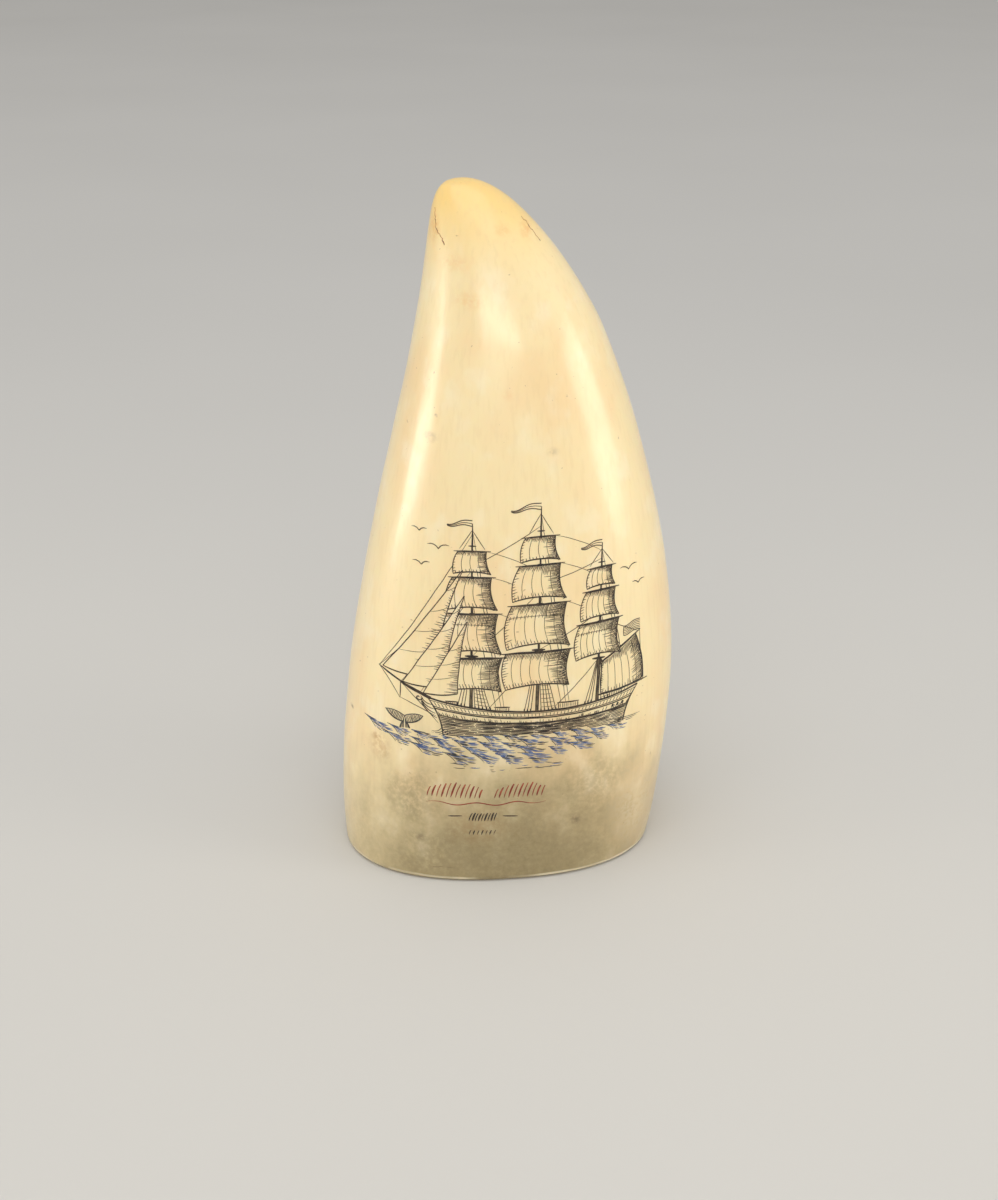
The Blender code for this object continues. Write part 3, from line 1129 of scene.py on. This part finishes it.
crack_brown = ink("crack_brown", colour(138, 86, 52), colour(206, 160, 104))
lay_ink("ship_outline", outline_ink, ink("black_brown_ink", colour(34, 27, 20), colour(70, 56, 40)))
lay_ink("ship_shadow", shadow_ink, ink("grey_brown_ink", colour(64, 55, 40), colour(110, 96, 70)))
lay_ink("sea_blue_strokes", blue_ink, ink("blue_ink", colour(66, 88, 138), colour(120, 138, 170)))
lay_ink("sea_slate_strokes", slate_ink, ink("slate_ink", colour(44, 44, 46), colour(86, 84, 78)))
lay_ink("red_strokes", red_ink, ink("red_brown_ink", colour(130, 46, 30), colour(168, 86, 58)))
lay_ink("dark_strokes", faded_ink, ink("faded_ink", colour(46, 36, 24), colour(92, 74, 50)))
lay_ink("left_tip_crack", left_crack, crack_brown, facing=-60)
lay_ink("right_tip_crack", right_crack, crack_brown, facing=25)
lay_ink("foot_scratch", foot_scratch, ink("scratch_shadow", colour(128, 112, 80), colour(166, 148, 110)))

# %% [markdown]
# ## Floor, light and camera
#
# The stage is a plain pale floor under an overcast dome, which lights a floor evenly however far it runs.
# Polished dentine shows its lights as reflections, so their shapes matter as much as their brightness.
# Three soft boxes stand where their reflections make the tooth's highlights: a low one at the left for the
# narrow band, a nearly square one at the right for the broad band, and a slim strip in front and above for
# the patch under the tip. The two at the sides could shine all round, but their beams are kept narrow, so
# that they spare the floor, and they are rolled to slant their reflections.

# %% Stage
FLOOR_SIZE = 8
FLOOR_GREY = colour(206, 205, 202)
FLOOR_PALE = colour(213, 212, 209)

bpy.ops.object.select_all(action="DESELECT")
bpy.ops.mesh.primitive_plane_add(size=FLOOR_SIZE)
floor = bpy.context.object
floor.name = "floor"
paper = Finish("floor_paper", Roughness=0.9)
blotches = cloud(paper, place(paper), 0.3)
paper.feed("Base Color", mix(paper, FLOOR_GREY, FLOOR_PALE, blotches))
floor.data.materials.append(paper.material)

# %% Camera
LENS = 50
LOOKS_DOWN = radians(24)
STANDS_ROUND = radians(-6)
STANDS_OFF = 0.371
AIM = Vector((-0.0014, 0, 0.0573))

bpy.ops.object.camera_add()
camera = bpy.context.object
away = Vector((sin(STANDS_ROUND) * cos(LOOKS_DOWN), -cos(STANDS_ROUND) * cos(LOOKS_DOWN), sin(LOOKS_DOWN)))
camera.location = AIM + away * STANDS_OFF
camera.rotation_euler = (pi / 2 - LOOKS_DOWN, 0, STANDS_ROUND)
camera.data.lens = LENS
camera.data.clip_start = 0.01
bpy.context.scene.camera = camera

# %% Lights
WARM = (1.0, 0.93, 0.80)


def softbox(name, stand, aim, width, height, watts, roll=0.0, tint=WARM, spread=180):
    """A soft box that stands at one point and faces another.

    Roll turns it anticlockwise, seen from behind it, and spread is its beam's width, both in degrees.
    """
    bpy.ops.object.light_add(type="AREA", location=stand)
    box = bpy.context.object
    box.name = name
    box.data.shape = "RECTANGLE"
    box.data.size = width
    box.data.size_y = height
    box.data.energy = watts
    box.data.color = tint
    box.data.spread = radians(spread)
    box.rotation_euler = (Vector(aim) - Vector(stand)).to_track_quat("-Z", "Y").to_euler()
    box.rotation_euler.rotate_axis("Z", radians(roll))


softbox("left_softbox", (-0.60, -0.05, 0.095), (0, 0, 0.08), 0.26, 0.11, watts=0.21, roll=20, spread=90)
softbox("right_softbox", (0.57, -0.245, 0.17), (0, 0, 0.09), 0.27, 0.30, watts=0.33, roll=26, spread=90)
softbox("front_strip", (-0.11, -0.66, 0.297), (0, 0, 0.12), 0.42, 0.024, watts=0.78, roll=5)
softbox("top_light", (-0.2, -0.8, 2.2), (0, 0, 0.08), 2.4, 2.4, watts=23.3, tint=(1, 1, 1))

# %% The dome, brighter overhead than at the horizon
HORIZON, ZENITH = 0.42, 0.60

world = bpy.data.worlds.new("studio")
world.use_nodes = True
dome = world.node_tree
direction = dome.nodes.new("ShaderNodeTexCoord")
upward = dome.nodes.new("ShaderNodeSeparateXYZ")
brightness = dome.nodes.new("ShaderNodeMapRange")
brightness.inputs["To Min"].default_value = HORIZON
brightness.inputs["To Max"].default_value = ZENITH
dome.links.new(direction.outputs["Generated"], upward.inputs["Vector"])
dome.links.new(upward.outputs["Z"], brightness.inputs["Value"])
dome.links.new(brightness.outputs["Result"], dome.nodes["Background"].inputs["Strength"])
dome.nodes["Background"].inputs["Color"].default_value = (1.0, 0.98, 0.95, 1)
bpy.context.scene.world = world
bpy.context.scene.view_settings.view_transform = "Standard"
